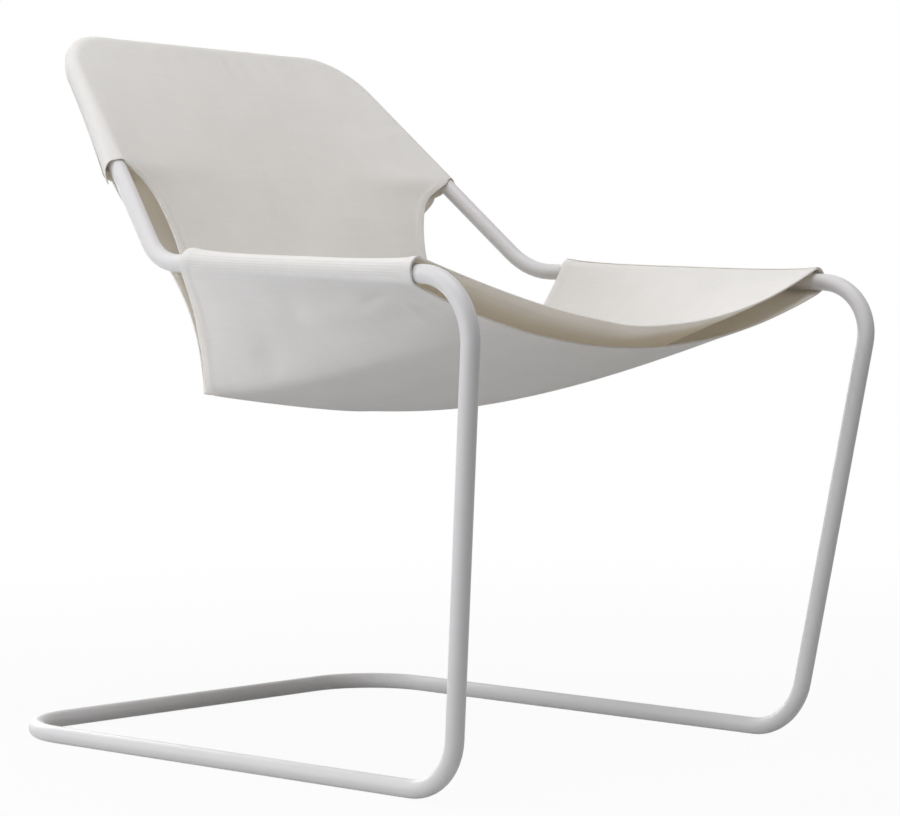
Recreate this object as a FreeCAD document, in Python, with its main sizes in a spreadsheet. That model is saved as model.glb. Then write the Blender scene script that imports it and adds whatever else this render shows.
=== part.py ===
import FreeCAD, Part
import math
import os

# Sling armchair. One closed loop of round steel tube makes the floor frame, the
# front legs, the arms and the back. A cover of two canvas layers hangs in it.
# The chair faces -Y, +X is the sitter's left, +Z is up. The origin is on the floor,
# under the middle of the chair.

Vec = FreeCAD.Vector
doc = FreeCAD.newDocument("sling_armchair")
sheet = doc.addObject("Spreadsheet::Sheet", "Sizes")

SIZES = {
    # tube
    "bar_radius": 10.0,
    "bar_wall": 2.0,
    "half_gap": 0.2,
    "spigot_length": 90.0,
    "spigot_clearance": 0.35,
    # corners of the loop: half width, place along the chair, height
    "floor_rear_half": 313.0,
    "floor_rear_y": 398.0,
    "floor_front_half": 299.0,
    "floor_front_y": -319.0,
    "arm_front_half": 353.0,
    "arm_front_y": -396.0,
    "arm_front_height": 538.0,
    "arm_rear_half": 316.0,
    "arm_rear_y": 111.0,
    "arm_rear_height": 560.0,
    "back_top_half": 230.0,
    "back_top_y": 379.0,
    "back_top_height": 829.0,
    # centre-line bend radii at those corners
    "bend_floor_rear": 96.0,
    "bend_floor_front": 68.0,
    "bend_arm_front": 63.0,
    "bend_arm_rear": 85.0,
    "bend_back_top": 74.0,
    # cloth
    "cloth": 1.2,
    "cloth_gap": 0.4,
    "seat_front_y": -318.0,
    "sleeve_rear_y": 58.0,
    "lower_sag": 64.5,
    "upper_sag": 72.5,
    "mouth_flare": 4.5,
    # the sleeve's rear end slants over the arm, and the hems below it are curved
    "sleeve_slant": 9.0,
    "lower_hem_curve": 6.0,
    "upper_hem_curve": 10.0,
    # notch apex, where seat and back meet at each side
    "apex_half": 250.0,
    "apex_y": 108.0,
    "apex_height": 412.0,
    "junction_sag": 25.0,
    "layer_inset": 6.0,
    # back pocket
    "pocket_end": 0.41,
    "pocket_bow": 14.0,
    "pocket_flare": 6.5,
    "waist_half": 211.0,
    "waist_y": 193.0,
    "waist_height": 574.0,
    "notch_curve": 13.0,
    "layer_depth": 27.0,
    "strip_angle": 58.0,
}
for row, (alias, value) in enumerate(SIZES.items(), start=1):
    sheet.set("A%d" % row, alias)
    sheet.set("B%d" % row, repr(value))
    sheet.setAlias("B%d" % row, alias)
doc.recompute()


def size(alias):
    """The value of one named size."""
    return float(getattr(sheet, alias))


BAR = size("bar_radius")
CLOTH = size("cloth")
GAP = size("cloth_gap")
# radii of the cloth layers about the tube, at mid thickness
FIRST_LAYER = BAR + GAP + CLOTH / 2
SECOND_LAYER = FIRST_LAYER + CLOTH + GAP
THIRD_LAYER = SECOND_LAYER + CLOTH + GAP


def mix(a, b, part):
    """The value that lies the given part of the way from a to b."""
    return a + (b - a) * part


# the loop's centre line


def loop_corners(side):
    """The five bend corners of one half of the loop, from the floor to the top."""
    return [
        Vec(side * size("floor_rear_half"), size("floor_rear_y"), BAR),
        Vec(side * size("floor_front_half"), size("floor_front_y"), BAR),
        Vec(side * size("arm_front_half"), size("arm_front_y"), size("arm_front_height")),
        Vec(side * size("arm_rear_half"), size("arm_rear_y"), size("arm_rear_height")),
        Vec(side * size("back_top_half"), size("back_top_y"), size("back_top_height")),
    ]


BENDS = ["bend_floor_rear", "bend_floor_front", "bend_arm_front", "bend_arm_rear", "bend_back_top"]


def bent_wire(points, radii):
    """A wire through the points, with an arc of the given radius at each inner one."""
    edges = []
    start = points[0]
    for before, corner, after, radius in zip(points, points[1:], points[2:], radii):
        arrive = (corner - before).normalize()
        leave = (after - corner).normalize()
        turn = arrive.getAngle(leave)
        reach = radius * math.tan(turn / 2)
        first = corner - arrive * reach
        last = corner + leave * reach
        inward = (leave - arrive).normalize()
        middle = corner + inward * (radius / math.cos(turn / 2) - radius)
        edges.append(Part.makeLine(start, first))
        edges.append(Part.Arc(first, middle, last).toShape())
        start = last
    edges.append(Part.makeLine(start, points[-1]))
    return Part.Wire(edges)


def half_loop(side):
    """The centre line of one tube half, from the rear floor joint to the top joint."""
    corners = loop_corners(side)
    start = Vec(side * size("half_gap"), corners[0].y, corners[0].z)
    end = Vec(side * size("half_gap"), corners[4].y, corners[4].z)
    return bent_wire([start] + corners + [end], [size(name) for name in BENDS])


def feature(label, shape):
    """A named piece of the chair with the given shape."""
    made = doc.addObject("Part::Feature", label)
    made.Label = label
    made.Shape = shape
    made.Placement = FreeCAD.Placement()
    return made


def tube_half(label, side):
    """One bent tube: a ring swept along its half of the loop."""
    spine = feature(label + "_line", half_loop(side))
    swept = []
    for name, radius in (("skin", "Sizes.bar_radius"), ("bore", "Sizes.bar_radius - Sizes.bar_wall")):
        ring = doc.addObject("Part::Circle", "%s_%s_ring" % (label, name))
        ring.setExpression("Radius", radius)
        ring.Placement = FreeCAD.Placement(
            Vec(0, 0, 0), FreeCAD.Rotation(Vec(0, 0, 1), Vec(side, 0, 0)))
        ring.setExpression("Placement.Base.x", "%d * Sizes.half_gap" % side)
        ring.setExpression("Placement.Base.y", "Sizes.floor_rear_y")
        ring.setExpression("Placement.Base.z", "Sizes.bar_radius")
        run = doc.addObject("Part::Sweep", "%s_%s" % (label, name))
        run.Sections = [ring]
        run.Spine = (spine, ["Edge%d" % (i + 1) for i in range(len(spine.Shape.Edges))])
        run.Solid = True
        run.Frenet = False
        swept.append(run)
    tube = doc.addObject("Part::Cut", label)
    tube.Label = label
    tube.Base, tube.Tool = swept
    return tube


def spigot(label, height, place):
    """A short rod inside the tube, across the joint of the two halves."""
    rod = doc.addObject("Part::Cylinder", label)
    rod.Label = label
    rod.setExpression("Radius", "Sizes.bar_radius - Sizes.bar_wall - Sizes.spigot_clearance")
    rod.setExpression("Height", "Sizes.spigot_length")
    rod.Placement = FreeCAD.Placement(Vec(0, 0, 0), FreeCAD.Rotation(Vec(0, 0, 1), Vec(1, 0, 0)))
    rod.setExpression("Placement.Base.x", "-Sizes.spigot_length / 2")
    rod.setExpression("Placement.Base.y", place)
    rod.setExpression("Placement.Base.z", height)
    return rod


# cloth


def spacing(lines):
    """Spline parameters for points along some lines: their mean distance from the start."""
    values = [0.0]
    for k in range(1, len(lines[0])):
        steps = [(line[k] - line[k - 1]).Length for line in lines]
        values.append(values[-1] + sum(steps) / len(steps))
    return [value / values[-1] for value in values]


def spline(points, parameters):
    """A cubic spline through points at the given parameters."""
    curve = Part.BSplineCurve()
    curve.interpolate(Points=points, Parameters=parameters)
    return curve


def spline_surface(grid, down, across):
    """A smooth surface through a grid of points: splines of the rows, then of their poles."""
    rows = [spline(row, across) for row in grid]
    columns = [spline(list(poles), down) for poles in zip(*[row.getPoles() for row in rows])]
    poles = [list(line) for line in zip(*[column.getPoles() for column in columns])]
    surface = Part.BSplineSurface()
    surface.buildFromPolesMultsKnots(
        poles, columns[0].getMultiplicities(), rows[0].getMultiplicities(),
        columns[0].getKnots(), rows[0].getKnots(), False, False, 3, 3)
    return surface


def cloth_solid(middle, thickness):
    """A closed solid of even thickness about a grid of points on a cloth's mid surface."""
    down = spacing(list(zip(*middle)))
    across = spacing(middle)
    last_row = len(middle) - 1
    last_column = len(middle[0]) - 1
    skins = ([], [])
    for i, row in enumerate(middle):
        lines = ([], [])
        for j, point in enumerate(row):
            along = middle[min(i + 1, last_row)][j] - middle[max(i - 1, 0)][j]
            sideways = row[min(j + 1, last_column)] - row[max(j - 1, 0)]
            normal = along.cross(sideways).normalize()
            lines[0].append(point + normal * (thickness / 2))
            lines[1].append(point - normal * (thickness / 2))
        skins[0].append(lines[0])
        skins[1].append(lines[1])
    surfaces = [spline_surface(skin, down, across) for skin in skins]
    faces = [surface.toShape() for surface in surfaces]
    borders = []
    for surface in surfaces:
        u0, u1, v0, v1 = surface.bounds()
        borders.append([surface.uIso(u0), surface.uIso(u1), surface.vIso(v0), surface.vIso(v1)])
    for first, second in zip(*borders):
        faces.append(Part.makeRuledSurface(first.toShape(), second.toShape()))
    shell = Part.makeShell(faces)
    shell.sewShape()
    solid = Part.makeSolid(Part.Shell(shell.Faces))
    if solid.Volume < 0:
        solid.reverse()
    return solid


def arm_point(y):
    """Half width and height of the arm's centre line at a place along the chair."""
    part = (y - size("arm_front_y")) / (size("arm_rear_y") - size("arm_front_y"))
    return (mix(size("arm_front_half"), size("arm_rear_half"), part),
            mix(size("arm_front_height"), size("arm_rear_height"), part))


# parts of the way from the arm to the middle of the seat, closest where the cloth turns
CORNER = 0.36
JUNCTION_POWER = 1.3
SEAT_STEPS = [0.08, 0.16, 0.24, 0.31, CORNER, 0.41, 0.50, 0.62, 0.75, 0.88]


def rear_profile(step, tangent, inset):
    """Rear edge of a seat layer: down the notch's hem to its apex, then across the seat."""
    apex = (size("apex_half") - inset, size("apex_height") + inset)
    if step <= CORNER:
        part = step / CORNER
        bulge = 0.16 * part * (1 - part)
        return (mix(tangent[0], apex[0], part + bulge), mix(tangent[1], apex[1], part))
    part = (1 - step) / (1 - CORNER)
    return (apex[0] * part, apex[1] - size("junction_sag") * (1 - part ** JUNCTION_POWER))


def front_profile(step, tangent, sag):
    """Front edge of a seat layer: a parabola that hangs between the arms."""
    return (tangent[0] * (1 - step), tangent[1] - sag * (1 - (1 - step) ** 2))


def seat_half(along, radius, turn, sag, inset, hem_curve):
    """Points of one half of a seat layer, from its end on the arm to the middle."""
    # how far the hanging shape has changed from the front edge's to the rear edge's
    settle = [1 - (1 - along) ** mix(1.1, 2.8, step) for step in [0.0] + SEAT_STEPS + [1.0]]
    arm_y = mix(size("seat_front_y"), size("sleeve_rear_y"), along)
    junction_y = mix(size("seat_front_y"), size("apex_y"), along)
    flare = size("mouth_flare") * (2 * along - 1) ** 4
    start, front_leave, rear_leave = turn
    leave = mix(front_leave, rear_leave, settle[0])
    outer = 118.0
    points = []
    wrap_steps = 7
    for k in range(wrap_steps):
        degrees = mix(start, leave, k / (wrap_steps - 1))
        angle = math.radians(degrees)
        # the sleeve stands off the arm's top at both ends, and is shorter there at the rear
        around = radius + flare * max(0.0, math.cos(angle))
        slant = size("sleeve_slant") * min(1.0, max(0.0, 1 - degrees / outer)) * along ** 2
        half, height = arm_point(arm_y - slant)
        tangent = (half + around * math.sin(angle), height + around * math.cos(angle))
        points.append(Vec(tangent[0], arm_y - slant, tangent[1]))
    for step, drop in zip(SEAT_STEPS + [1.0], settle[1:]):
        front = front_profile(step, tangent, sag)
        rear = rear_profile(step, tangent, inset)
        back = min(1.0, step / CORNER)
        ahead = hem_curve * 4 * back * (1 - back) * along ** 2
        points.append(Vec(mix(front[0], rear[0], drop), mix(arm_y - slant, junction_y, back) - ahead,
                          mix(front[1], rear[1], drop)))
    return points


def mirrored(points):
    """A whole row across the chair from the points of its left half."""
    right = [Vec(-p.x, p.y, p.z) for p in points]
    return right + list(reversed(points[:-1]))


def seat_layer(label, radius, turn, sag, inset, hem_curve):
    """One canvas layer of the seat, from its free front edge to the junction."""
    stations = [0, 0.12, 0.26, 0.42, 0.58, 0.74, 0.88, 1]
    rows = [mirrored(seat_half(v, radius, turn, sag, inset, hem_curve)) for v in stations]
    return feature(label, cloth_solid(rows, CLOTH))


def back_axes():
    """Point on the back's plane, its slope direction and its forward normal."""
    corners = loop_corners(1)
    foot = Vec(0, corners[3].y, corners[3].z)
    head = Vec(0, corners[4].y, corners[4].z)
    slope = (head - foot).normalize()
    return foot, head, slope, Vec(0, -slope.z, slope.y)


def side_point(part):
    """A point of the left side bar of the back, from the arm corner to the top corner."""
    corners = loop_corners(1)
    return corners[3] + (corners[4] - corners[3]) * part


def pocket_slack(part):
    """How far the pocket stands off the outer and rear sides of the bar near its mouth."""
    return size("pocket_flare") * min(1, max(0, 0.85 - part) / (0.85 - size("pocket_end"))) ** 2


def pocket_edge(part, offset):
    """Where a back layer leaves the side bar: a little inside the bar's crown."""
    lean = math.radians(14)
    reach = abs(offset) + GAP
    if offset < 0:
        reach += 1.7 * pocket_slack(part)
    inward = Vec(-reach * math.sin(lean), 0, 0)
    return side_point(part) + inward + back_axes()[3] * math.copysign(reach, offset)


def back_layer(label, offset, waist_edges, pocket_start, junction, bow):
    """One canvas layer of the back, from the junction to the top bar."""
    edges = list(waist_edges)
    climbs = [0, 0.2, 0.4, 0.52, 0.58]
    for part in (0.0, 0.17, 0.35, 0.6, 0.8, 1.0):
        edges.append(pocket_edge(mix(pocket_start, 1.0, part), offset))
        climbs.append(mix(0.63, 1, part))
    head = Vec(0, edges[-1].y, edges[-1].z)
    rise = head - junction
    forward = Vec(0, -rise.z, rise.y).normalize()
    rows = []
    for edge, climb in zip(edges, climbs):
        middle = junction + rise * climb + forward * (bow * 4 * climb * (1 - climb))
        power = mix(JUNCTION_POWER, 2, min(1, 5 * climb))
        row = []
        for k in range(-8, 9):
            part = abs(k / 8) ** power
            row.append(Vec(edge.x * k / 8, mix(middle.y, edge.y, part), mix(middle.z, edge.z, part)))
        rows.append(row)
    solid = cloth_solid(rows, CLOTH)
    for side in (-1, 1):
        solid = solid.cut(corner_offcut(side))
    return feature(label, solid)


def corner_offcut(side):
    """What is cut off an upper corner of a back layer, to round it like the bar."""
    corner = loop_corners(side)[4]
    down = (loop_corners(side)[3] - corner).normalize()
    inward = Vec(-side, 0, 0)
    turn = math.pi - down.getAngle(inward)
    radius = size("bend_back_top")
    reach = radius * math.tan(turn / 2)
    first = corner + down * reach
    last = corner + inward * reach
    middle = corner + (down + inward).normalize() * (radius / math.cos(turn / 2) - radius)
    outside = corner - (down + inward).normalize() * radius
    ring = Part.Wire([
        Part.Arc(first, middle, last).toShape(),
        Part.makeLine(last, outside),
        Part.makeLine(outside, first),
    ])
    normal = back_axes()[3]
    face = Part.Face(ring)
    face.translate(normal * -radius)
    return face.extrude(normal * (2 * radius))


def swept_band(label, path, centre, tangent, first, angles, radius):
    """A strip of cloth bent round the tube and swept along it."""
    bounds = [radius - CLOTH / 2, radius + CLOTH / 2]
    other = tangent.cross(first)
    rims = []
    for r in bounds:
        arc = []
        for angle in (angles[0], (angles[0] + angles[1]) / 2, angles[1]):
            a = math.radians(angle)
            arc.append(centre + first * (r * math.cos(a)) + other * (r * math.sin(a)))
        rims.append(arc)
    profile = Part.Wire([
        Part.Arc(*rims[0]).toShape(),
        Part.makeLine(rims[0][2], rims[1][2]),
        Part.Arc(*reversed(rims[1])).toShape(),
        Part.makeLine(rims[1][0], rims[0][0]),
    ])
    return feature(label, path.makePipeShell([profile], True, False))


def pocket_band(label):
    """The strip round the outer side of the back bar, between the two back layers."""
    start, top, radius = side_point(size("pocket_end") + 0.03), loop_corners(1)[4], size("bend_back_top")
    rise = (top - start).normalize()
    normal = back_axes()[3]
    turn = rise.getAngle(Vec(-1, 0, 0))
    reach = radius * math.tan(turn / 2)
    straight = (top - start).Length - reach
    outward = rise.cross(normal)
    # places on the left half of the path, with the direction out of the loop at each
    places = []
    for part in (0, 0.15, 0.3, 0.45, 0.6, 0.75, 0.87, 0.95):
        places.append((start + rise * (straight * part), outward))
    centre = start + rise * straight - outward * radius
    for k in range(9):
        angle = turn * k / 8
        out = outward * math.cos(angle) + rise * math.sin(angle)
        places.append((centre + out * radius, out))
    for part in (0.06, 0.14, 0.25, 0.4, 0.6, 0.8, 1.0):
        places.append((mix(top - Vec(reach, 0, 0), Vec(0, top.y, top.z), part), out))
    rows = []
    foot, height = loop_corners(1)[3].z, top.z - loop_corners(1)[3].z
    for point, out in places:
        slack = pocket_slack((point.z - foot) / height)
        row = []
        for k in range(13):
            # from the bar's front, over its outer side, to its rear
            angle = math.radians(mix(-25, 205, k / 12))
            off = FIRST_LAYER + slack * min(1, max(0, (k - 3) / 4))
            row.append(point + normal * (off * math.cos(angle)) + out * (off * math.sin(angle)))
        rows.append(row)
    right = [[Vec(-p.x, p.y, p.z) for p in row] for row in reversed(rows[:-1])]
    return feature(label, cloth_solid(rows + right, CLOTH))


def arm_strip(label, side):
    """The stitched strip on top of one arm, over the ends of both seat layers."""
    ends = []
    for y in (size("seat_front_y") + 3, size("sleeve_rear_y") - 3):
        half, height = arm_point(y)
        ends.append(Vec(side * half, y, height))
    path = Part.Wire([Part.makeLine(ends[0], ends[1])])
    tangent = (ends[1] - ends[0]).normalize()
    up = Vec(0, 0, 1)
    first = (up - tangent * up.dot(tangent)).normalize()
    reach = size("strip_angle")
    return swept_band(label, path, ends[0], tangent, first, (-reach, reach), FIRST_LAYER)


pieces = [
    tube_half("frame_tube_right", -1),
    tube_half("frame_tube_left", 1),
    spigot("spigot_floor", "Sizes.bar_radius", "Sizes.floor_rear_y"),
    spigot("spigot_top", "Sizes.back_top_height", "Sizes.back_top_y"),
    arm_strip("arm_strip_right", -1),
    arm_strip("arm_strip_left", 1),
    # the lower layer hangs from the outer side of the arms, the upper from the inner;
    # the lower laps over the upper on the outer side, where they are sewn together
    seat_layer("seat_lower", THIRD_LAYER, (-8, 158, 118), size("lower_sag"), 0.0,
               size("lower_hem_curve")),
    seat_layer("seat_upper", SECOND_LAYER, (112, -17, -70), size("upper_sag"), size("layer_inset"),
               size("upper_hem_curve")),
]

inset = size("layer_inset")
apex = Vec(size("apex_half"), size("apex_y") + 1.0, size("apex_height"))
waist = Vec(size("waist_half"), size("waist_y"), size("waist_height"))
front_apex = apex + Vec(-inset, 0, inset)
junction = Vec(0, apex.y, apex.z - size("junction_sag"))
curve = size("notch_curve")
mouth = size("pocket_end") + 0.01
front_mouth = pocket_edge(mouth, SECOND_LAYER)
front_edges = [
    front_apex,
    mix(front_apex, waist, 0.5) + Vec(-curve / 2, curve / 3, 0),
    waist,
    mix(waist, front_mouth, 0.54) + Vec(-1.55 * curve, 0.55 * curve, 0),
    mix(waist, front_mouth, 0.80) + Vec(-1.2 * curve, 0.55 * curve, 0),
]
rear_waist = waist - back_axes()[3] * size("layer_depth")
rear_mouth = pocket_edge(mouth, -SECOND_LAYER)
rear_edges = [
    apex,
    mix(apex, rear_waist, 0.5) + Vec(-2 * curve, curve, 0),
    rear_waist,
    mix(rear_waist, rear_mouth, 0.45) + Vec(-0.5 * curve, 0.65 * curve, 0),
    mix(rear_waist, rear_mouth, 0.76) + Vec(-0.4 * curve, 0.65 * curve, 0),
]
pieces.append(back_layer("back_front", SECOND_LAYER, front_edges, mouth,
                         junction + Vec(0, 0, inset), size("pocket_bow")))
pieces.append(back_layer("back_rear", -SECOND_LAYER, rear_edges, mouth,
                         junction, size("pocket_bow") - 2))
pieces.append(pocket_band("pocket_band"))

doc.recompute()
for made in doc.Objects:
    if "Invalid" in made.State or "Error" in made.State:
        raise RuntimeError("%s did not recompute" % made.Label)
os.makedirs("parts", exist_ok=True)
for piece in pieces:
    if piece.Shape.isNull() or not piece.Shape.isValid():
        raise RuntimeError("%s has no valid shape" % piece.Label)
    print("%-18s volume %10.0f mm3  solids %d" % (piece.Label, piece.Shape.Volume, len(piece.Shape.Solids)))
    piece.Shape.exportStep("parts/%s.step" % piece.Label)
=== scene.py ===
# %% [markdown]
# # A sling armchair
# One closed loop of white tube carries a cover of off-white canvas. The tube comes from
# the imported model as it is. The canvas is rebuilt here as thin curved sheets with hems,
# stitching and the small dents of real cloth.

import bpy
import numpy as np
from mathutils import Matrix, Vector


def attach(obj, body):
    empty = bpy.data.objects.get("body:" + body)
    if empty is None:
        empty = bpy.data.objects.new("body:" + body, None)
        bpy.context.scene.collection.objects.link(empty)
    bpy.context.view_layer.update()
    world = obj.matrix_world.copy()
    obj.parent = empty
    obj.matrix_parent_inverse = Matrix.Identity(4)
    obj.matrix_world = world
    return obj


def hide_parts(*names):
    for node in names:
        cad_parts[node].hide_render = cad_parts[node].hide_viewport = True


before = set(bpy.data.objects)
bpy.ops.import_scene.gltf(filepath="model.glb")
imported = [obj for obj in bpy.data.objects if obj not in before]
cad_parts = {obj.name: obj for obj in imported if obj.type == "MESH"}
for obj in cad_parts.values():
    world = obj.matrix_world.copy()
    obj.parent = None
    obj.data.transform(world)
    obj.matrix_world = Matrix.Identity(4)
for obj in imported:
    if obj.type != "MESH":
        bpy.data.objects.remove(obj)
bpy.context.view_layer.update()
scene = bpy.context.scene
print("nodes:", sorted(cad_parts))

# %% [markdown]
# ## The camera
# The photograph was taken with a long lens from the chair's right front corner, at the
# height of the seat. These values come from fitting the tube's edges.

# %% Camera
CAMERA_PLACE = Vector((-2.3232, -2.1729, 0.4889))
CAMERA_TURN = -47.46
CAMERA_DROP = 1.58
turn, drop = np.radians(CAMERA_TURN), np.radians(CAMERA_DROP)
look = Vector((-np.sin(turn) * np.cos(drop), np.cos(turn) * np.cos(drop), -np.sin(drop)))
camera_data = bpy.data.cameras.new("camera")
camera_data.sensor_width = 36.0
camera_data.lens = 108.0
camera_data.shift_y = -0.0083
camera_data.clip_start, camera_data.clip_end = 0.05, 60.0
camera = bpy.data.objects.new("camera", camera_data)
camera.location = CAMERA_PLACE
camera.rotation_mode = "QUATERNION"
camera.rotation_quaternion = look.to_track_quat("-Z", "Y")
scene.collection.objects.link(camera)
scene.camera = camera
print("camera looks along", [round(v, 3) for v in look])

# %% [markdown]
# ## The sizes
# The canvas hangs on the tube, so the scene repeats the tube's corners from the part's
# source, in metres. The cloth is a little thinner here than in the part. Three radii tell
# how far from the tube's centre line each layer of cloth lies.

# %% Sizes
ARM_FRONT = np.array([0.353, -0.396, 0.538])
ARM_REAR = np.array([0.316, 0.111, 0.560])
BACK_TOP = np.array([0.230, 0.379, 0.829])
TUBE_RADIUS, TOP_BEND = 0.010, 0.074
CLOTH, GAP = 0.0010, 0.0001
FIRST_LAYER = TUBE_RADIUS + GAP + CLOTH / 2
SECOND_LAYER = FIRST_LAYER + CLOTH + GAP
THIRD_LAYER = SECOND_LAYER + CLOTH + GAP
SEAT_FRONT, SLEEVE_REAR = -0.318, 0.058
APEX = np.array([0.250, 0.108, 0.412])
JUNCTION_SAG, JUNCTION_POWER = 0.025, 1.3
LAYER_INSET = 0.006
CORNER = 0.36
HEM, SEAT_DEPTH = 0.013, 0.4
SEAT_HEM = HEM / SEAT_DEPTH
MOUTH_FLARE, SLEEVE_SLANT, SLANT_END = 0.0045, 0.009, 118.0
MIRROR = np.array([-1, 1, 1])


def mix(a, b, part):
    """The value that lies the given part of the way from a to b."""
    return a + (b - a) * part


def ramp(low, high, value):
    """0 below low, 1 above high, and a smooth S between: 3p squared minus 2p cubed."""
    part = np.clip((value - low) / (high - low), 0, 1)
    return part * part * (3 - 2 * part)


# %% [markdown]
# ## Turning arrays into cloth
# Cloth is a surface with two parameters, so each sheet starts as a grid of points. The
# grid becomes a mesh with a UV map in metres, which keeps the weave at its true scale.
# Solidify gives it thickness: a vertex group doubles it along the hems, where the edge
# is folded over. A small bevel rounds the cut edge.

# %% Helpers for grids
def grid_faces(rows, columns):
    """Four-cornered faces of a grid whose points are counted row by row."""
    index = np.arange(rows * columns).reshape(rows, columns)
    corners = (index[:-1, :-1], index[:-1, 1:], index[1:, 1:], index[1:, :-1])
    return np.stack(corners, axis=-1).reshape(-1, 4)


def grid_uv(points):
    """Lengths in metres along the grid's middle row and down its middle column."""
    rows, columns = points.shape[:2]
    across = np.linalg.norm(np.diff(points[rows // 2], axis=0), axis=1)
    down = np.linalg.norm(np.diff(points[:, columns // 2], axis=0), axis=1)
    u = np.concatenate([[0], np.cumsum(across)])
    v = np.concatenate([[0], np.cumsum(down)])
    return np.stack(np.meshgrid(u, v), axis=-1)


def grid_normals(points):
    """Unit normals of a grid: the cross product of its two slopes."""
    normal = np.cross(np.gradient(points, axis=1), np.gradient(points, axis=0))
    return normal / np.linalg.norm(normal, axis=-1, keepdims=True)


def new_mesh_piece(name, points, faces, material):
    """A smooth mesh object that rides on the chair's one body."""
    mesh = bpy.data.meshes.new(name)
    mesh.from_pydata(points.reshape(-1, 3).tolist(), [], faces)
    mesh.polygons.foreach_set("use_smooth", np.ones(len(mesh.polygons), dtype=bool))
    mesh.materials.append(material)
    piece = bpy.data.objects.new(name, mesh)
    scene.collection.objects.link(piece)
    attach(piece, "root")
    return piece


def set_uv(piece, uv):
    """Writes a UV for every corner of every face from the UV of its point."""
    mesh = piece.data
    corner_points = np.zeros(len(mesh.loops), dtype=np.int32)
    mesh.loops.foreach_get("vertex_index", corner_points)
    layer = mesh.uv_layers.new(name="UVMap")
    layer.data.foreach_set("uv", uv.reshape(-1, 2)[corner_points].astype(np.float32).ravel())


LEAST_WEIGHT = 0.01  # above 0, because the bevel's blending can go a little lower


def thicken(piece, doubled):
    """Cloth thickness, doubled where the array says so, with a rounded cut edge."""
    group = piece.vertex_groups.new(name="hem")
    flat = np.maximum(doubled.ravel(), LEAST_WEIGHT)
    for weight in np.unique(flat):
        group.add(np.flatnonzero(flat == weight).tolist(), float(weight), "REPLACE")
    solid = piece.modifiers.new("thickness", "SOLIDIFY")
    solid.thickness = 2 * CLOTH
    solid.offset = 0
    solid.vertex_group = "hem"
    solid.thickness_vertex_group = 0.5
    edge = piece.modifiers.new("cut_edge", "BEVEL")
    edge.width = 0.0003
    edge.segments = 2
    edge.limit_method = "ANGLE"
    edge.angle_limit = np.radians(60)


def area_of(points, faces):
    """Area of four-cornered faces: half the cross product of their diagonals, added up."""
    flat = points.reshape(-1, 3)
    first = flat[faces[:, 2]] - flat[faces[:, 0]]
    second = flat[faces[:, 3]] - flat[faces[:, 1]]
    return 0.5 * np.linalg.norm(np.cross(first, second), axis=1).sum()


# %% [markdown]
# ## The finishes
# Powder coat is a thick satin paint with a very fine orange-peel skin. Canvas is a plain
# weave: yarns over and under each other, some a little thicker than others, and here and
# there a dark speck of cotton husk. The weave is a node group, because the sheets and the
# sewing thread both use yarn, at different scales.

# %% Node helpers
def link_nodes(tree, pairs):
    """Joins pairs of sockets in a node tree."""
    for source, target in pairs:
        tree.links.new(source, target)


def math_node(tree, operation, first, second=None):
    """A Math node whose inputs are sockets or plain numbers."""
    node = tree.nodes.new("ShaderNodeMath")
    node.operation = operation
    for socket, value in zip(node.inputs, (first, second)):
        if value is None:
            continue
        if isinstance(value, (int, float)):
            socket.default_value = value
        else:
            tree.links.new(value, socket)
    return node.outputs[0]


def noise_node(tree, vector, scale, detail=2.0):
    """The value of a noise texture."""
    node = tree.nodes.new("ShaderNodeTexNoise")
    node.inputs["Scale"].default_value = scale
    node.inputs["Detail"].default_value = detail
    tree.links.new(vector, node.inputs["Vector"])
    return node.outputs["Fac"]


def stretched(tree, vector, along, across):
    """Coordinates multiplied by different numbers along u and v."""
    node = tree.nodes.new("ShaderNodeMapping")
    node.inputs["Scale"].default_value = (along, across, 1)
    tree.links.new(vector, node.inputs["Vector"])
    return node.outputs["Vector"]


# %% Woven yarn group
SLUB_ACROSS, SLUB_ALONG = 300.0, 14.0  # scale of the unevenness across a yarn and along it
SPECK_SCALE, SPECK_RADIUS = 4.6, 0.0062  # cells per metre, and the speck's part of a cell


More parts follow.
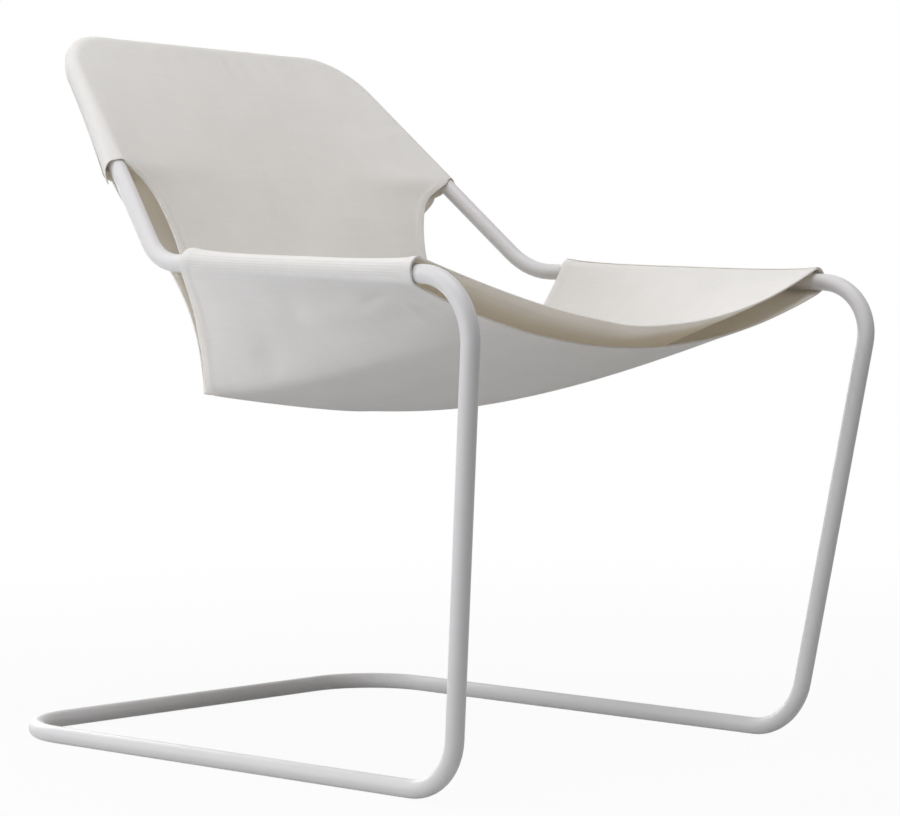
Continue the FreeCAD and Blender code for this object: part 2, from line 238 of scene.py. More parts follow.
def woven_yarn_group(name):
    """Yarn height (a checker of sine bumps), uneven yarn shade and dark specks."""
    tree = bpy.data.node_groups.new(name, "ShaderNodeTree")
    for socket in ("Metres", "Yarn width"):
        kind = "NodeSocketVector" if socket == "Metres" else "NodeSocketFloat"
        tree.interface.new_socket(socket, in_out="INPUT", socket_type=kind)
    for socket in ("Height", "Shade", "Speck"):
        tree.interface.new_socket(socket, in_out="OUTPUT", socket_type="NodeSocketFloat")
    given = tree.nodes.new("NodeGroupInput").outputs
    result = tree.nodes.new("NodeGroupOutput").inputs
    split = tree.nodes.new("ShaderNodeSeparateXYZ")
    tree.links.new(given["Metres"], split.inputs[0])
    waves = []
    for axis in (0, 1):
        turns = math_node(tree, "DIVIDE", split.outputs[axis], given["Yarn width"])
        waves.append(math_node(tree, "SINE", math_node(tree, "MULTIPLY", turns, np.pi)))
    weave = math_node(tree, "MULTIPLY", waves[0], waves[1])
    warp = noise_node(tree, stretched(tree, given["Metres"], SLUB_ACROSS, SLUB_ALONG), 1.0)
    weft = noise_node(tree, stretched(tree, given["Metres"], SLUB_ALONG, SLUB_ACROSS), 1.0)
    uneven = math_node(tree, "ADD", math_node(tree, "MULTIPLY", warp, 0.5),
                       math_node(tree, "MULTIPLY", weft, 0.5))
    height = math_node(tree, "ADD", math_node(tree, "MULTIPLY", weave, 0.5), uneven)
    specks = tree.nodes.new("ShaderNodeTexVoronoi")
    specks.inputs["Scale"].default_value = SPECK_SCALE
    tree.links.new(stretched(tree, given["Metres"], 1.0, 1.35), specks.inputs["Vector"])
    near = math_node(tree, "LESS_THAN", specks.outputs["Distance"], SPECK_RADIUS)
    link_nodes(tree, [
        (height, result["Height"]),
        (uneven, result["Shade"]),
        (near, result["Speck"]),
    ])
    return tree


WOVEN_YARN = woven_yarn_group("woven_yarn")


# %% Canvas
DARK_YARN, LIGHT_YARN = 0.87, 1.11
HUSK_COLOUR = (0.16, 0.12, 0.09, 1)
THROUGH_SHARE, THROUGH_COLOUR = 0.26, (0.93, 0.86, 0.74, 1)


def canvas_finish(name, colour, yarn_width, depth):
    """Matt cotton: the weave drives bump and shade, large noise gives faint mottling.
    Part of the light goes through the cloth, and comes out warmer."""
    material = bpy.data.materials.new(name)
    material.use_nodes = True
    tree = material.node_tree
    shader = tree.nodes["Principled BSDF"]
    coordinates = tree.nodes.new("ShaderNodeTexCoord").outputs["UV"]
    yarn = tree.nodes.new("ShaderNodeGroup")
    yarn.node_tree = WOVEN_YARN
    yarn.inputs["Yarn width"].default_value = yarn_width
    tree.links.new(coordinates, yarn.inputs["Metres"])
    mottle = noise_node(tree, coordinates, 14.0, 3.0)
    shade = math_node(tree, "ADD", math_node(tree, "MULTIPLY", yarn.outputs["Shade"], 0.6),
                      math_node(tree, "MULTIPLY", mottle, 0.4))
    tint = tree.nodes.new("ShaderNodeMix")
    tint.data_type = "RGBA"
    tint.inputs["A"].default_value = (*[c * DARK_YARN for c in colour], 1)
    tint.inputs["B"].default_value = (*[min(1, c * LIGHT_YARN) for c in colour], 1)
    speck = tree.nodes.new("ShaderNodeMix")
    speck.data_type = "RGBA"
    speck.inputs["B"].default_value = HUSK_COLOUR
    bump = tree.nodes.new("ShaderNodeBump")
    bump.inputs["Strength"].default_value = 0.5
    bump.inputs["Distance"].default_value = depth
    rough = math_node(tree, "ADD", math_node(tree, "MULTIPLY", yarn.outputs["Shade"], 0.14), 0.82)
    link_nodes(tree, [
        (shade, tint.inputs["Factor"]),
        (tint.outputs["Result"], speck.inputs["A"]),
        (math_node(tree, "MULTIPLY", yarn.outputs["Speck"], 0.7), speck.inputs["Factor"]),
        (speck.outputs["Result"], shader.inputs["Base Color"]),
        (yarn.outputs["Height"], bump.inputs["Height"]),
        (bump.outputs["Normal"], shader.inputs["Normal"]),
        (rough, shader.inputs["Roughness"]),
    ])
    through = tree.nodes.new("ShaderNodeBsdfTranslucent")
    through.inputs["Color"].default_value = THROUGH_COLOUR
    blend = tree.nodes.new("ShaderNodeMixShader")
    blend.inputs["Fac"].default_value = THROUGH_SHARE
    link_nodes(tree, [
        (shader.outputs[0], blend.inputs[1]),
        (through.outputs[0], blend.inputs[2]),
        (blend.outputs[0], tree.nodes["Material Output"].inputs["Surface"]),
    ])
    shader.inputs["Sheen Weight"].default_value = 0.12
    shader.inputs["Sheen Roughness"].default_value = 0.6
    shader.inputs["Specular IOR Level"].default_value = 0.25
    return material


CANVAS = canvas_finish("canvas", (0.86, 0.845, 0.815), yarn_width=0.0008, depth=0.00025)
THREAD = canvas_finish("sewing_thread", (0.76, 0.74, 0.70), yarn_width=0.0003, depth=0.0001)


# %% Powder coat and bare steel
def bar_finish(name, colour, metallic, roughness, peel):
    """Satin skin: fine noise for the orange peel and a little change of roughness."""
    material = bpy.data.materials.new(name)
    material.use_nodes = True
    tree = material.node_tree
    shader = tree.nodes["Principled BSDF"]
    coordinates = tree.nodes.new("ShaderNodeTexCoord").outputs["Object"]
    skin = noise_node(tree, coordinates, 700.0, 2.0)
    cloud = noise_node(tree, coordinates, 9.0, 3.0)
    tint = tree.nodes.new("ShaderNodeMix")
    tint.data_type = "RGBA"
    tint.inputs["A"].default_value = (*[c * 0.97 for c in colour], 1)
    tint.inputs["B"].default_value = (*[min(1, c * 1.02) for c in colour], 1)
    bump = tree.nodes.new("ShaderNodeBump")
    bump.inputs["Strength"].default_value = peel
    bump.inputs["Distance"].default_value = 0.0002
    rough = math_node(tree, "ADD", math_node(tree, "MULTIPLY", cloud, 0.10), roughness - 0.05)
    link_nodes(tree, [
        (cloud, tint.inputs["Factor"]),
        (tint.outputs["Result"], shader.inputs["Base Color"]),
        (skin, bump.inputs["Height"]),
        (bump.outputs["Normal"], shader.inputs["Normal"]),
        (rough, shader.inputs["Roughness"]),
    ])
    shader.inputs["Metallic"].default_value = metallic
    shader.inputs["Specular IOR Level"].default_value = 0.3
    return material


POWDER_COAT = bar_finish("white_powder_coat", (0.655, 0.632, 0.608),
                         metallic=0.0, roughness=0.42, peel=0.12)
BARE_STEEL = bar_finish("bare_steel", (0.55, 0.55, 0.56),
                        metallic=1.0, roughness=0.35, peel=0.05)
for node, material in (("frame_tube_right", POWDER_COAT), ("frame_tube_left", POWDER_COAT),
                       ("spigot_floor", BARE_STEEL), ("spigot_top", BARE_STEEL)):
    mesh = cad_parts[node].data
    mesh.materials.clear()
    mesh.materials.append(material)
print("finishes:", [m.name for m in bpy.data.materials])

# %% [markdown]
# ## Dents and pulls
# Canvas that hangs between two bars is never quite smooth. Wide soft dents come from how
# it was folded, and short straight pulls fan out from where it is held. Both are added
# along the surface's normals: the dents as a sum of waves with random directions, and
# each pull as a ridge whose height falls off with the distance from a line.

# %% Dents and pulls
random = np.random.default_rng(7)
WAVES = 12


def soft_dents(u, v, height, longest):
    """A sum of waves with random directions, lengths and phases."""
    total = np.zeros_like(u)
    for _ in range(WAVES):
        angle, phase = random.uniform(0, 2 * np.pi, 2)
        length = longest * random.uniform(0.35, 1.0)
        total += np.sin(2 * np.pi * (u * np.cos(angle) + v * np.sin(angle)) / length + phase)
    return height * total / np.sqrt(WAVES / 2)


def pull_ridge(u, v, start, end, width, height):
    """A ridge along a line: a bell curve across it, fading out towards both ends."""
    start, end = np.array(start), np.array(end)
    line = end - start
    length = np.linalg.norm(line)
    along = ((u - start[0]) * line[0] + (v - start[1]) * line[1]) / length ** 2
    across = ((u - start[0]) * line[1] - (v - start[1]) * line[0]) / length
    fade = np.sin(np.pi * np.clip(along, 0, 1)) ** 0.8
    return height * fade * np.exp(-(across / width) ** 2)


# %% [markdown]
# ## The seat
# Each arm carries both layers of the seat. The lower layer goes over the outer side of
# the arm and hangs below it, and the upper layer leaves the arm on its inner side. At the
# front they hang in a plain curve. At the rear the lower layer turns sharply at the apex
# of the side notch. A row of points runs round one arm, down, across and up to the other.

# %% Shape of the seat
ARC_COLUMNS, HANG_COLUMNS = 31, 79
SEAT_COLUMNS = 2 * (ARC_COLUMNS + HANG_COLUMNS) - 1
MIDDLE_SOFTNESS = 0.12
SIDE_BULGE = 0.16


def arm_line(y):
    """Half width and height of the arm's centre line at a place along the chair."""
    part = (y - ARM_FRONT[1]) / (ARM_REAR[1] - ARM_FRONT[1])
    return mix(ARM_FRONT[0], ARM_REAR[0], part), mix(ARM_FRONT[2], ARM_REAR[2], part)


def rounded(points, spread):
    """Softens the rows' sharp turns: a running bell-curve average that keeps the ends."""
    reach = 3 * spread
    weights = np.exp(-0.5 * (np.arange(-reach, reach + 1) / spread) ** 2)
    weights /= weights.sum()
    head = 2 * points[:, :1] - points[:, reach:0:-1]
    tail = 2 * points[:, -1:] - points[:, -2:-reach - 2:-1]
    padded = np.concatenate([head, points, tail], axis=1)
    width = points.shape[1]
    return sum(w * padded[:, k:k + width] for k, w in enumerate(weights))


def hemmed_rows(count, hem):
    """Row parameters from 0 to 1, with close rows where a hem's fold ends."""
    edge = np.array([0, 0.35, 0.7, 0.96, 1.06]) * hem
    middle = np.linspace(1.6 * hem, 1 - 1.6 * hem, count)
    return np.concatenate([edge, middle, 1 - edge[::-1]])


def leave_angle(along, angles):
    """Degrees from the arm's top at which a layer leaves the arm. The three angles are
    where its arc starts, and where it leaves the arm at the front and at the rear."""
    return mix(angles[1], angles[2], 1 - (1 - along) ** 1.1)


def soft_power(way, power):
    """A power of the way, from 0 to 1, without a point at 0. A parabola stays one."""
    low = MIDDLE_SOFTNESS ** power
    return ((way ** 2 + MIDDLE_SOFTNESS ** 2) ** (power / 2) - low) / (
        (1 + MIDDLE_SOFTNESS ** 2) ** (power / 2) - low)


def seat_points(along, radius, angles, sag, inset, hem_curve, powers=(2.0, 2.0), bow=0.0):
    """Rows of a seat layer: an arc round the arm, then a mix of two hanging curves.
    The front curve falls with a power of the way to the middle, 2 for a parabola and less
    for tauter cloth, the right side's first. Its middle may bow forward. The rear curve
    goes straight down to the apex with a small bulge, and then across with a shallow sag.
    The sleeve stands off the arm's top at both ends, and its rear end slants forward from
    the outer side to the top."""
    along = along[:, None]
    arm_y = mix(SEAT_FRONT, SLEEVE_REAR, along)
    junction_y = mix(SEAT_FRONT, APEX[1], along)
    turned = np.linspace(0, 1, ARC_COLUMNS)[None, :]
    degrees = mix(angles[0], leave_angle(along, angles), turned)
    angle = np.radians(degrees)
    around = radius + MOUTH_FLARE * (2 * along - 1) ** 4 * np.maximum(0, np.cos(angle))
    arc_y = arm_y - SLEEVE_SLANT * np.clip(1 - degrees / SLANT_END, 0, 1) * along ** 2
    half, height = arm_line(arc_y)
    arc = np.stack([half + around * np.sin(angle), arc_y,
                    height + around * np.cos(angle)], axis=-1)
    x0, y0, z0 = (arc[:, -1:, k] for k in range(3))
    step = np.linspace(0, 1, HANG_COLUMNS + 1)[None, 1:]
    apex_x, apex_z = APEX[0] - inset, APEX[2] + inset
    down = np.minimum(step / CORNER, 1)
    over = np.clip((1 - step) / (1 - CORNER), 0, 1)
    side = step <= CORNER
    bulge = SIDE_BULGE * down * (1 - down)
    rear_x = np.where(side, mix(x0, apex_x, down + bulge), apex_x * over)
    across_z = apex_z - JUNCTION_SAG * (1 - over ** JUNCTION_POWER)
    rear_z = np.where(side, mix(z0, apex_z, down), across_z)
    settle = 1 - (1 - along) ** mix(1.1, 2.8, step)
    hang_y = mix(y0, junction_y, down) - hem_curve * 4 * down * (1 - down) * along ** 2
    hang_y = hang_y - bow * (1 - (1 - step) ** 2) * (1 - along) ** 4
    hang_x = mix(x0 * (1 - step), rear_x, settle)
    sides = []
    for power in powers:
        front_z = z0 - sag * (1 - soft_power(1 - step, power))
        hang = np.stack([hang_x, hang_y, mix(front_z, rear_z, settle)], axis=-1)
        sides.append(np.concatenate([arc, hang], axis=1))
    right, left = sides[0] * MIRROR, sides[1]
    return rounded(np.concatenate([right, left[:, -2::-1]], axis=1), spread=2)


SEAT_ROWS = hemmed_rows(84, SEAT_HEM)
LOWER_ANGLES, UPPER_ANGLES = (-8, 158, 118), (112, -17, -70)
lower = seat_points(SEAT_ROWS, THIRD_LAYER, LOWER_ANGLES, sag=0.0645, inset=0.0,
                    hem_curve=0.006)
upper = seat_points(SEAT_ROWS, SECOND_LAYER, UPPER_ANGLES, sag=0.0679, inset=LAYER_INSET,
                    hem_curve=0.010, powers=(1.5, 2.0), bow=0.012)
print("seat grids:", lower.shape, upper.shape)

# %% [markdown]
# Most pulls on the outer panel start under the front end of the sleeve, where the sewing
# holds the cloth most, and two wide bulges lie lower down. The dents fade out on the
# sleeve, where the tube backs the cloth, and along the taut bottom. Each pull is a start
# and an end in metres on the cloth, a width and a height.

# %% Dented seat layers
def dented(points, height, longest, ridges, taut, backed):
    """Moves a grid along its normals: dents where it is not taut, and ridges where no
    tube is behind it."""
    uv = grid_uv(points)
    u, v = uv[..., 0], uv[..., 1]
    lift = soft_dents(u, v, height, longest) * (1 - taut)
    for start, end, width, rise in ridges:
        lift = lift + pull_ridge(u, v, start, end, width, rise)
    return points + grid_normals(points) * (lift * (1 - backed))[..., None]


columns = np.arange(SEAT_COLUMNS)
from_end = np.minimum(columns, SEAT_COLUMNS - 1 - columns)
SLEEVE_END, BOTTOM_START = ARC_COLUMNS + 12, ARC_COLUMNS + 40
sleeve = 1 - ramp(ARC_COLUMNS - 1, SLEEVE_END, from_end)[None, :]
taut_edges = ramp(0.97, 1.0, SEAT_ROWS) + 0.9 * (1 - ramp(0.02, 0.16, SEAT_ROWS))
taut_edges = taut_edges[:, None] * np.ones_like(sleeve)
bottom = 0.95 * ramp(SLEEVE_END, BOTTOM_START, from_end)[None, :]
taut_bottom = np.maximum(taut_edges, bottom)
LOWER_PULLS = [
    ((0.050, 0.055), (0.115, 0.020), 0.004, 0.0012),
    ((0.050, 0.060), (0.140, 0.045), 0.005, 0.0011),
    ((0.052, 0.066), (0.150, 0.075), 0.006, -0.0010),
    ((0.046, 0.058), (0.091, 0.155), 0.007, 0.0022),
    ((0.070, 0.235), (0.088, 0.275), 0.024, 0.0028),
    ((0.125, 0.340), (0.165, 0.310), 0.018, 0.0024),
]
UPPER_PULLS = [
    ((0.280, 0.010), (0.420, 0.020), 0.012, 0.0015),
    ((0.360, 0.004), (0.480, 0.030), 0.010, -0.0012),
]
lower = dented(lower, height=0.0007, longest=0.16, ridges=LOWER_PULLS, taut=taut_bottom,
               backed=sleeve)
upper = dented(upper, height=0.0008, longest=0.22, ridges=UPPER_PULLS, taut=taut_edges,
               backed=sleeve)


# %% Seat pieces
def hem_mask(rows, hem):
    """1 on the rows of both folded edges, 0 between."""
    return np.where((rows <= hem) | (rows >= 1 - hem), 1.0, 0.0)


def grid_piece(name, points, doubled):
    """A sheet of canvas from a grid of points, folded where the second array is 1."""
    faces = grid_faces(*points.shape[:2])
    piece = new_mesh_piece(name + "_cloth", points, faces.tolist(), CANVAS)
    set_uv(piece, grid_uv(points))
    thicken(piece, doubled)
    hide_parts(name)
    print(name, "area %.4f m2" % area_of(points, faces))
    return piece


seat_hems = np.broadcast_to(hem_mask(SEAT_ROWS, SEAT_HEM)[:, None], lower.shape[:2])
seat_lower = grid_piece("seat_lower", lower, seat_hems)
seat_upper = grid_piece("seat_upper", upper, seat_hems)

# %% [markdown]
# ## The back
# The back is a flat bag with rounded upper corners, pulled down over the loop. Its front
# panel comes forward over the bar, goes round the outside and meets the rear panel in a
# seam behind. Below the bag's mouth the panels go on, narrower, down to the seat. A panel
# is one grid of rows from side to side, and a strip round the bar on its other three
# sides that starts from the grid's own edge points.

# %% The loop that carries the back
side_bar = BACK_TOP - ARM_REAR
slope = np.array([0, side_bar[1], side_bar[2]]) / np.hypot(side_bar[1], side_bar[2])
forward = np.array([0, -slope[2], slope[1]])
rise = side_bar / np.linalg.norm(side_bar)
outward = np.cross(rise, forward)
corner_turn = np.arccos(-rise[0])
corner_reach = TOP_BEND * np.tan(corner_turn / 2)
side_length = np.linalg.norm(side_bar)
arc_start = 1 - corner_reach / side_length
POCKET_END, POCKET_FLARE, SLACK_END = 0.41, 0.0065, 0.85
PANEL_MOUTH = POCKET_END + 0.01
REAR_SLACK = 1.7
LEAN = np.radians(14)


def pocket_slack(part):
    """How far the bag stands off the bar: greatest at its mouth, none above its end."""
    left = np.maximum(0, SLACK_END - part) / (SLACK_END - POCKET_END)
    return POCKET_FLARE * np.minimum(1, left) ** 2


def loop_path(mouth, straight_rows, bend_rows):
    """Centres on the left side bar from the mouth up and round the corner, the direction
    out of the loop at each, and the height of each as a part of the side bar's height."""
    parts = np.linspace(mouth, arc_start, straight_rows, endpoint=False)[:, None]
    straight = ARM_REAR + side_bar * parts
    angle = np.linspace(0, corner_turn, bend_rows)[:, None]
    out = outward * np.cos(angle) + rise * np.sin(angle)
    centre = ARM_REAR + side_bar * arc_start - outward * TOP_BEND
    points = np.concatenate([straight, centre + out * TOP_BEND])
    outs = np.concatenate([np.broadcast_to(outward, straight.shape), out])
    height = (points[:, 2] - ARM_REAR[2]) / side_bar[2]
    return points, outs, height


def natural_spline(knots, values, at):
    """Cubic spline through values at the knots, with no bending at its two ends."""
    n = len(knots)
    gap = np.diff(knots)
    system, right = np.eye(n), np.zeros((n, values.shape[1]))
    inner = np.arange(1, n - 1)
    system[inner, inner - 1] = gap[:-1]
    system[inner, inner] = 2 * (gap[:-1] + gap[1:])
    system[inner, inner + 1] = gap[1:]
    slopes = np.diff(values, axis=0) / gap[:, None]
    right[inner] = 6 * np.diff(slopes, axis=0)
    bend = np.linalg.solve(system, right)
    k = np.clip(np.searchsorted(knots, at) - 1, 0, n - 2)
    a, b = (knots[k + 1] - at)[:, None], (at - knots[k])[:, None]
    h = gap[k][:, None]
    return ((bend[k] * a ** 3 + bend[k + 1] * b ** 3) / (6 * h)
            + (values[k] / h - bend[k] * h / 6) * a
            + (values[k + 1] / h - bend[k + 1] * h / 6) * b)


# %% Shape of a back panel
MOUTH_CLIMB = 0.63  # the mouth's place on the way up from the seat to the top bar
LOW_ROWS, BAR_ROWS, BEND_ROWS = 52, 34, 16  # below the mouth, along the bar, round the bend
HELD_ROWS = [0, 6, 14]  # rows on the bar that also guide the edge below the mouth


def panel_reach(part, side):
    """Distance from the bar's centre to a panel, on the front (1) or rear (-1)."""
    spare = REAR_SLACK * pocket_slack(part) if side < 0 else 0 * part
    return SECOND_LAYER + GAP + spare


def back_panel(side, waist, mouth, junction, bow):
    """The grid of a panel. Below the mouth its edge is a spline through the waist points,
    above it the edge follows the bar. Between the edges a row is a parabola whose middle
    lies on the line from the seat to the top bar, bowed forward."""
    centres, outs, parts = loop_path(mouth, BAR_ROWS, BEND_ROWS)
    reach = panel_reach(parts, side)[:, None]
    bar_edges = centres - outs * (reach * np.sin(LEAN)) + forward * (side * reach)
    bar_climbs = mix(MOUTH_CLIMB, 1, (parts - mouth) / (1 - mouth))
    full_half = mix(ARM_REAR[0], BACK_TOP[0], parts)
    waist_climbs = np.array([0, 0.2, 0.4, 0.52, 0.58])
    knots = np.concatenate([waist_climbs, bar_climbs[HELD_ROWS]])
    values = np.concatenate([waist, bar_edges[HELD_ROWS]])
    low = np.linspace(0, MOUTH_CLIMB, LOW_ROWS, endpoint=False)
    low_edges = natural_spline(knots, values, low)
    edges = np.concatenate([low_edges, bar_edges])
    climbs = np.concatenate([low, bar_climbs])
    widths = np.concatenate([low_edges[:, 0], full_half - reach[:, 0] * np.sin(LEAN)])
    head = np.array([0, bar_edges[-1, 1], bar_edges[-1, 2]])
    lift = head - junction
    ahead = np.array([0, -lift[2], lift[1]]) / np.hypot(lift[1], lift[2])
    bowed = 4 * bow * climbs * (1 - climbs)
    middles = junction + lift * climbs[:, None] + ahead * bowed[:, None]
    power = mix(JUNCTION_POWER, 2, np.minimum(1, 5 * climbs))[:, None]
    u = panel_columns()[None, :]
    x = edges[:, :1] * u
    full = np.stack([widths, edges[:, 1], edges[:, 2]], axis=-1)
    share = np.abs(x / full[:, :1]) ** power
    at_edge = np.abs(edges[:, :1] / full[:, :1]) ** power
    y = mix(middles[:, 1:2], edges[:, 1:2], share / at_edge)
    z = mix(middles[:, 2:3], edges[:, 2:3], share / at_edge)
    return np.stack([x, y, z], axis=-1), centres, outs, parts


def panel_columns():
    """Column parameters from -1 to 1, with close columns where a hem's fold ends."""
    edge = np.array([0, 0.016, 0.032, 0.043, 0.047])
    return np.concatenate([-1 + edge, np.linspace(-0.92, 0.92, 91), 1 - edge[::-1]])


# %% [markdown]
# The strip round the bar has the same number of points along it as the grid has on its
# left edge above the mouth, along its top row and down its right edge, so its first line
# of points is the grid's edge. From there a short cubic curve leads into the round part
# without a crease: it starts in the panel's own direction and ends along the circle.

# %% Strip round the bar
BRIDGE_STEPS = np.linspace(0, 1, 7)[1:-1]


def side_steps(around, columns):
    """How many of the edge's points lie on one side of the grid, above the mouth."""
    return (around - columns + 2) // 2


def edge_line(values, steps):
    """The grid's values along its left edge, its top row and its right edge, in order."""
    low = len(values) - steps
    return np.concatenate([values[low:, 0], values[-1, 1:-1], values[low:, -1][::-1]])


def ring_path(grid, centres, outs, parts):
    """Bar centres, outward directions and heights for the grid's edge points in order."""
    across = grid[-1, 1:-1, 0]
    top = np.stack([across, 0 * across + BACK_TOP[1], 0 * across + BACK_TOP[2]], axis=-1)
    centre = np.concatenate([centres * MIRROR, top, centres[::-1]])
    out = np.concatenate([outs * MIRROR, np.broadcast_to(slope, top.shape), outs[::-1]])
    part = np.concatenate([parts, np.ones(len(top)), parts[::-1]])
    return centre, out, part


def edge_tilt(grid, out, side):
    """Angle at which the panel rises to the bar, from its normals, evened out along it."""
    normal = edge_line(grid_normals(grid), side_steps(len(out), grid.shape[1]))
    normal = normal * np.sign(normal @ forward * side)[:, None]
    tilt = np.arctan2(-np.sum(normal * out, axis=1), normal @ forward * side)
    tilt = np.clip(np.nan_to_num(tilt), np.radians(-4), np.radians(24))
    return rounded(tilt[None, :, None], spread=4)[0]


CORNER_PUFF, CORNER_HALF, CORNER_REACH = 0.0035, 0.195, 0.045
PUFF_LOW, PUFF_HIGH = 0.800, 0.828


def corner_puff(centre):
    """How far the bag stands off the bar's top bends: a bell curve over the half width."""
    bell = np.exp(-((np.abs(centre[..., 0]) - CORNER_HALF) / CORNER_REACH) ** 2)
    return CORNER_PUFF * bell * ramp(PUFF_LOW, PUFF_HIGH, centre[..., 2])


def wrap_strip(edge, tilt, path, turns, side, mouth_drop):
    """Points round the bar: its centre plus a radius that grows towards the bag's mouth
    on the outer and rear sides. Angles are counted from the panel's own side outwards."""
    centre, out, part = (line[:, None] for line in path)
    angle = np.radians(turns)[None, :]
    slack = pocket_slack(part)
    if side > 0:
        loose = slack * ramp(np.radians(32), np.radians(110), angle)
        puffed = ramp(np.radians(30), np.radians(90), angle)
    else:
        loose = mix(REAR_SLACK * slack, slack + 0.0014, ramp(0, np.radians(30), angle))
        puffed = ramp(0, np.radians(28), angle)
    radius = (SECOND_LAYER + GAP + loose + corner_puff(centre) * puffed)[..., None]
    crown = forward * side
    spoke = crown * np.cos(angle)[..., None] + out * np.sin(angle)[..., None]
    points = centre + radius * spoke
    sink = mouth_drop * ramp(60, 140, turns)[None, :] * (1 - ramp(POCKET_END, 0.62, part))
    along = np.ones_like(points) * rise
    along[..., 0] *= np.sign(centre[..., 0])
    points = points - along * sink[..., None]
    chord = np.linalg.norm(points[:, :1] - edge[:, None], axis=-1, keepdims=True)
    start = chord * (out * np.cos(tilt)[:, None] + crown * np.sin(tilt)[:, None])
    end = chord * (out * np.cos(angle[0, 0]) - crown * np.sin(angle[0, 0]))
    t = BRIDGE_STEPS[None, :, None]
    bridge = ((2 * t ** 3 - 3 * t ** 2 + 1) * edge[:, None] + (t ** 3 - 2 * t ** 2 + t) * start
              + (3 * t ** 2 - 2 * t ** 3) * points[:, :1] + (t ** 3 - t ** 2) * end)
    return np.concatenate([edge[:, None], bridge, points], axis=1)


def strip_uv(edge_uv, out, strip):
    """The grid's UV carried on outwards by the lengths walked across the strip."""
    walked = np.cumsum(np.linalg.norm(np.diff(strip, axis=1), axis=-1), axis=1)
    heading = np.stack([out[:, 0], out @ slope], axis=-1)
    return edge_uv[:, None] + heading[:, None] * walked[..., None]


def panel_mesh(grid, strip):
    """Points and faces of a panel whose strip starts from the grid's edge points."""
    rows, columns = grid.shape[:2]
    steps, turns = strip.shape[:2]
    index = np.arange(rows * columns).reshape(rows, columns)
    edge = edge_line(index, side_steps(steps, columns))
    extra = rows * columns + np.arange(steps * (turns - 1)).reshape(steps, turns - 1)
    ring = np.concatenate([edge[:, None], extra], axis=1)
    corners = (ring[:-1, :-1], ring[1:, :-1], ring[1:, 1:], ring[:-1, 1:])
    strip_faces = np.stack(corners, axis=-1).reshape(-1, 4)
    points = np.concatenate([grid.reshape(-1, 3), strip[:, 1:].reshape(-1, 3)])
    return points, np.concatenate([grid_faces(rows, columns), strip_faces])


# %% [markdown]
# The top edge of the front panel puckers a little, because its seam is shorter than the
# cloth. The puckers are narrow waves that die away a few centimetres below the bar.

# %% Back panels
PUCKER_PITCH = 0.031


def puckers(grid, height):
    """Narrow waves across the panel that fade out below its top edge."""
    x, z = grid[..., 0], grid[..., 2]
    wave = np.sin(2 * np.pi * x / PUCKER_PITCH + 1.4 * np.sin(x * 37)) * np.sin(x * 23 + 0.8)
    fade = ramp(0.785, 0.825, z) * (1 - ramp(0.10, 0.19, np.abs(x)))
    near_seam = 1 - ramp(0.826, 0.838, z)
    return grid + grid_normals(grid) * (height * wave * fade * near_seam)[..., None]


def back_piece(name, side, waist, mouth, junction, bow, turns, mouth_drop):
    """A back panel with its strip round the bar and folded hems along the notches."""
    grid, centres, outs, parts = back_panel(side, waist, mouth, junction, bow)
    u = panel_columns()[None, :]
    free = (1 - np.abs(u) ** 6) * np.ones(len(grid))[:, None]
    from_seat = ramp(0, 6, np.arange(len(grid)))[:, None]
    fade = free * from_seat * (1 - ramp(0.80, 0.838, grid[..., 2]))
    uv = grid_uv(grid)
    lift = soft_dents(uv[..., 0], uv[..., 1], 0.0005, 0.30)
    grid = grid + grid_normals(grid) * (lift * fade)[..., None]
    if side > 0:
        grid = puckers(grid, 0.0006)
    path = ring_path(grid, centres, outs, parts)
    edge = edge_line(grid, len(parts))
    strip = wrap_strip(edge, edge_tilt(grid, path[1], side), path, turns, side, mouth_drop)
    points, faces = panel_mesh(grid, strip)
    if side < 0:
        faces = faces[:, ::-1]
    piece = new_mesh_piece(name + "_cloth", points, faces.tolist(), CANVAS)
    flat = np.stack([grid[..., 0], grid @ slope], axis=-1)
    around = strip_uv(edge_line(flat, len(parts)), path[1], strip)
    set_uv(piece, np.concatenate([flat.reshape(-1, 2), around.reshape(-1, 2)]))
    below_mouth = (np.arange(len(grid)) <= LOW_ROWS)[:, None]
    hem = np.where((np.abs(u) > 0.955) & below_mouth, 1.0, 0.0)
    thicken(piece, np.concatenate([hem.ravel(), np.zeros(len(points) - hem.size)]))
    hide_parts(name)
    print(name, "area %.4f m2" % area_of(points, faces))
    return piece, grid


apex = APEX + np.array([0, 0.001, 0])
inner_apex = apex + np.array([-LAYER_INSET, 0, LAYER_INSET])
junction = np.array([0, apex[1], apex[2] - JUNCTION_SAG])
front_waist = np.array([inner_apex, (0.221, 0.155, 0.496), (0.211, 0.193, 0.574),
                        (0.226, 0.212, 0.632), (0.248, 0.217, 0.660)])
rear_waist = np.array([apex, (0.205, 0.174, 0.483), (0.211, 0.212, 0.555),
                       (0.233, 0.233, 0.600), (0.254, 0.242, 0.632)])
FRONT_TURNS = np.linspace(26, 152, 20)
REAR_TURNS = np.linspace(18, 34, 4)
back_front, front_grid = back_piece("back_front", 1, front_waist, PANEL_MOUTH,
                                    junction + (0, 0, LAYER_INSET), bow=0.014,
                                    turns=FRONT_TURNS, mouth_drop=0.016)
back_rear, rear_grid = back_piece("back_rear", -1, rear_waist, PANEL_MOUTH, junction,
                                  bow=0.012, turns=REAR_TURNS, mouth_drop=0.0)

# %% [markdown]
# ## Hidden strips
# Inside the bag a lining strip takes the wear of the bar, and on top of each arm a strip
# joins the two seat layers. They show only at their ends.

# %% Lining strip and arm strips
def strip_piece(name, points):
    """A strip of canvas that is folded nowhere."""
    return grid_piece(name, points, np.zeros(points.shape[:2]))


